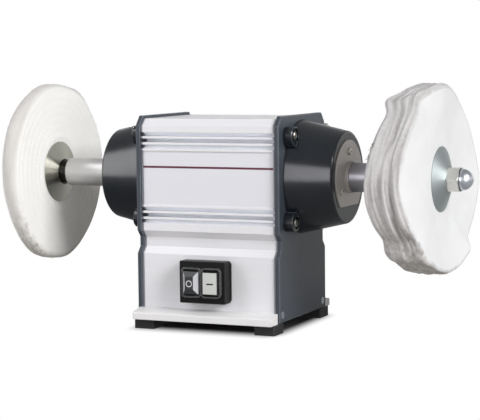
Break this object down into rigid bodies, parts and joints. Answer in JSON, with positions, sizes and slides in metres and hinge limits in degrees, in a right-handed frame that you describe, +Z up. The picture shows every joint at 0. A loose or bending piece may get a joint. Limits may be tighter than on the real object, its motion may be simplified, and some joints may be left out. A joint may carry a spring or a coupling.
{
  "type": "bench polishing machine",
  "caption": "Bench polishing machine: a ribbed motor on a pedestal turns a long spindle with a cloth buff clamped between cone flanges at each end, with a push-button switch in front.",
  "frame": {"origin": "on the bench that the feet stand on, under the middle of the machine's box", "axes": "+X along the spindle to the right of someone who stands in front, +Y to the back, +Z up"},
  "size_m": [0.5368, 0.2, 0.2594],
  "materials": {
    "housing_aluminium": "pale satin anodised extrusion",
    "plate_paint": "slate powder coat",
    "bell_casting": "near-black satin paint on a casting",
    "cover_steel": "warm grey satin steel",
    "sleeve_steel": "turned satin steel",
    "flange_zinc": "zinc-plated, turned",
    "nut_steel": "bright plated",
    "screw_steel": "zinc-plated",
    "shaft_steel": "ground steel",
    "bearing_steel": "ground bearing steel",
    "core_iron": "stacked electrical sheet",
    "winding_copper": "varnished copper wire",
    "cage_aluminium": "cast aluminium",
    "sewn_cloth": "sewn white cotton",
    "loose_cloth": "loose white cotton",
    "base_enamel": "white satin paint",
    "foot_rubber": "black rubber",
    "switch_black": "black gloss moulding",
    "switch_grey": "pale grey moulding",
    "switch_clear": "clear soft vinyl",
    "contact_plastic": "black moulding",
    "spring_steel": "spring steel",
    "gland_nylon": "black moulded nylon",
    "gland_rubber": "black rubber",
    "capacitor_can": "drawn aluminium can",
    "lead_pvc": "insulated lead"
  },
  "bodies": {
    "housing": {"base_frame": "base_enamel", "base_screws": "screw_steel", "bearing_cover_screws": "screw_steel", "bearing_washers": "bearing_steel", "capacitor": "capacitor_can", "capacitor_clip": "spring_steel", "electrical_screws": "screw_steel", "end_bell_screws": "screw_steel", "end_plate_screws": "screw_steel", "foot_screws": "screw_steel", "front_left_foot": "foot_rubber", "front_right_foot": "foot_rubber", "gland_body": "gland_nylon", "gland_cap_nut": "gland_nylon", "gland_lock_nut": "gland_nylon", "gland_seal": "gland_rubber", "internal_leads": "lead_pvc", "left_bearing_cover": "cover_steel", "left_bearing_outer_ring": "bearing_steel", "left_bearing_shields": "bearing_steel", "left_end_bell": "bell_casting", "left_end_plate": "plate_paint", "motor_housing": "housing_aluminium", "off_button_spring": "spring_steel", "on_button_spring": "spring_steel", "rear_left_foot": "foot_rubber", "rear_right_foot": "foot_rubber", "right_bearing_cover": "cover_steel", "right_bearing_outer_ring": "bearing_steel", "right_bearing_shields": "bearing_steel", "right_end_bell": "bell_casting", "right_end_plate": "plate_paint", "stator_core": "core_iron", "stator_winding": "winding_copper", "switch_contacts": "contact_plastic", "switch_frame": "switch_black", "switch_gasket": "gland_rubber", "switch_rim": "switch_clear", "terminal_block": "contact_plastic"},
    "spindle": {"spindle_shaft": "shaft_steel", "rotor_core": "core_iron", "rotor_cage": "cage_aluminium", "left_bearing_inner_ring": "bearing_steel", "right_bearing_inner_ring": "bearing_steel", "left_spacer_sleeve": "sleeve_steel", "right_spacer_sleeve": "sleeve_steel", "left_inner_flange": "flange_zinc", "right_inner_flange": "flange_zinc", "left_outer_flange": "flange_zinc", "right_outer_flange": "flange_zinc", "left_buff": "sewn_cloth", "right_buff": "loose_cloth", "left_cap_nut": "nut_steel", "right_cap_nut": "nut_steel"},
    "left_ball_set": {"left_bearing_balls": "bearing_steel", "left_bearing_cage": "bearing_steel"},
    "right_ball_set": {"right_bearing_balls": "bearing_steel", "right_bearing_cage": "bearing_steel"},
    "off_button": {"off_button": "switch_black"},
    "on_button": {"on_button": "switch_grey"}
  },
  "joints": [
    {"name": "spindle_spin", "type": "hinge", "parent": "housing", "child": "spindle", "pos_m": [0, 0, 0.1594], "axis": [1, 0, 0], "continuous": true},
    {"name": "left_ball_orbit", "type": "hinge", "parent": "housing", "child": "left_ball_set", "pos_m": [0, 0, 0.1594], "axis": [1, 0, 0], "continuous": true},
    {"name": "right_ball_orbit", "type": "hinge", "parent": "housing", "child": "right_ball_set", "pos_m": [0, 0, 0.1594], "axis": [1, 0, 0], "continuous": true},
    {"name": "off_button_press", "type": "slide", "parent": "housing", "child": "off_button", "axis": [0, 1, 0], "range_m": [0, 0.003], "stiffness_N_per_m": 900, "deforming": ["off_button_spring"]},
    {"name": "on_button_press", "type": "slide", "parent": "housing", "child": "on_button", "axis": [0, 1, 0], "range_m": [0, 0.003], "stiffness_N_per_m": 900, "deforming": ["on_button_spring"]}
  ],
  "couplings": [
    {"joint": "left_ball_orbit", "follows": "spindle_spin", "ratio": 0.3818},
    {"joint": "right_ball_orbit", "follows": "spindle_spin", "ratio": 0.3818}
  ]
}
